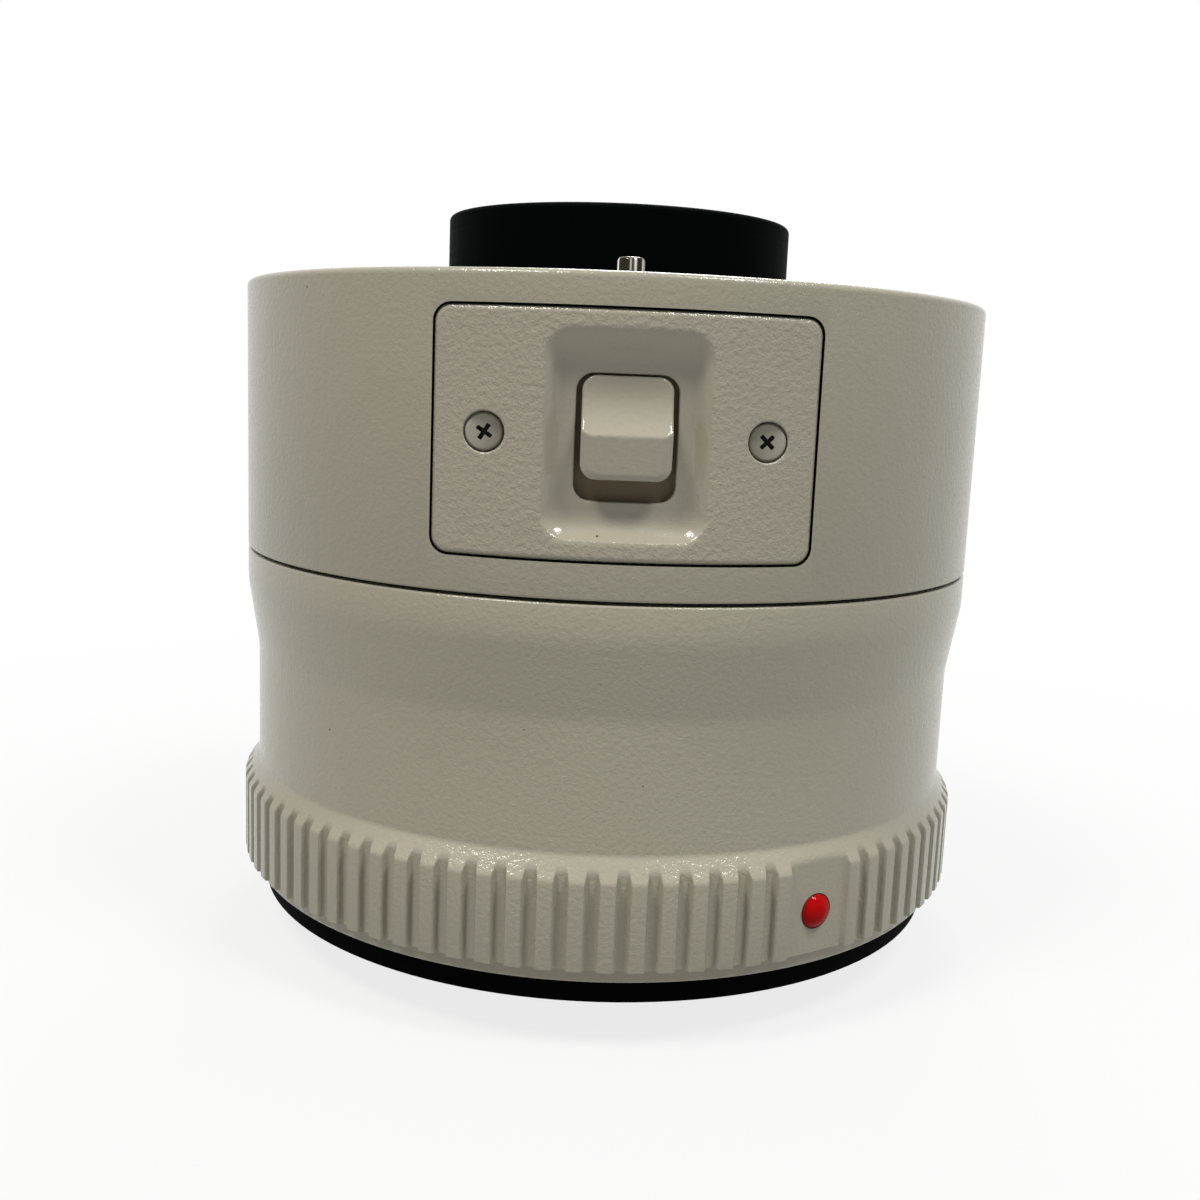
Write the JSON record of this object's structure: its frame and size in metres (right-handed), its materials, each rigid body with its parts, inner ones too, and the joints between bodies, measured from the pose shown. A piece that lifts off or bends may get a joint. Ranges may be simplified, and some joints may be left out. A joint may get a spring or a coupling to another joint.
{
  "type": "camera teleconverter",
  "caption": "Grey-painted 2x camera teleconverter with bayonet mounts, ribbed grip, protruding black front lens nose and a sliding lens lock.",
  "frame": {"origin": "on the optical axis in the plane of the camera flange", "axes": "+Z along the optical axis towards the lens, -Y towards the lens lock, +X towards the lens index dot"},
  "size_m": [0.0718, 0.0718, 0.069],
  "materials": {
    "grey_paint": "textured satin paint",
    "black_anodised": "matt black anodised",
    "cast_frame": "bare casting",
    "steel": "polished",
    "spring_steel": "bright",
    "black_plastic": "matt moulded",
    "rubber": "matt",
    "glass": "coated",
    "gold": "gold plated",
    "red_enamel": "gloss enamel",
    "circuit": "circuit board",
    "ribbon": "polyimide ribbon"
  },
  "bodies": {
    "housing": {"front_barrel": "grey_paint", "rear_barrel": "grey_paint", "lock_plate": "grey_paint", "plate_screws": "grey_paint", "lock_spring": "spring_steel", "front_mount_ring": "steel", "front_mount_screws": "steel", "bayonet_springs": "spring_steel", "front_index_dot": "red_enamel", "rear_index_dot": "red_enamel", "frame": "cast_frame", "front_baffle": "black_anodised", "front_contact_block": "black_plastic", "contact_block_screws": "steel", "contact_springs": "spring_steel", "contact_board": "circuit", "flex_cable": "ribbon", "circuit_board": "circuit", "board_chips": "black_plastic", "rear_mount_ring": "steel", "rear_mount_screws": "steel", "rear_seal": "rubber", "rear_baffle": "black_plastic", "baffle_screws": "steel", "rear_contact_block": "black_plastic", "rear_contacts": "gold", "front_cell": "black_anodised", "rear_cell": "black_anodised", "cell_screws": "steel", "front_retaining_ring": "black_anodised", "rear_retaining_ring": "black_anodised", "front_spacer": "black_anodised", "middle_spacer": "black_anodised", "rear_spacer": "black_anodised", "lens_1_front": "glass", "lens_2": "glass", "lens_3": "glass", "lens_4": "glass", "lens_5": "glass", "lens_6": "glass", "lens_7_rear": "glass"},
    "lens_lock": {"lock_slider": "grey_paint", "slide_carrier": "cast_frame", "slider_screws": "steel", "lock_pin": "steel"},
    "contacts": {"contact_pins": "gold"}
  },
  "joints": [
    {"name": "lock_slide", "type": "slide", "parent": "housing", "child": "lens_lock", "axis": [0, 0, -1], "range_m": [0, 0.0016], "stiffness_N_per_m": 900, "springref_m": -0.001, "deforming": ["lock_spring"]},
    {"name": "contact_press", "type": "slide", "parent": "housing", "child": "contacts", "axis": [0, 0, -1], "range_m": [0, 0.0008], "stiffness_N_per_m": 900, "springref_m": -0.0005, "deforming": ["contact_springs"]}
  ]
}
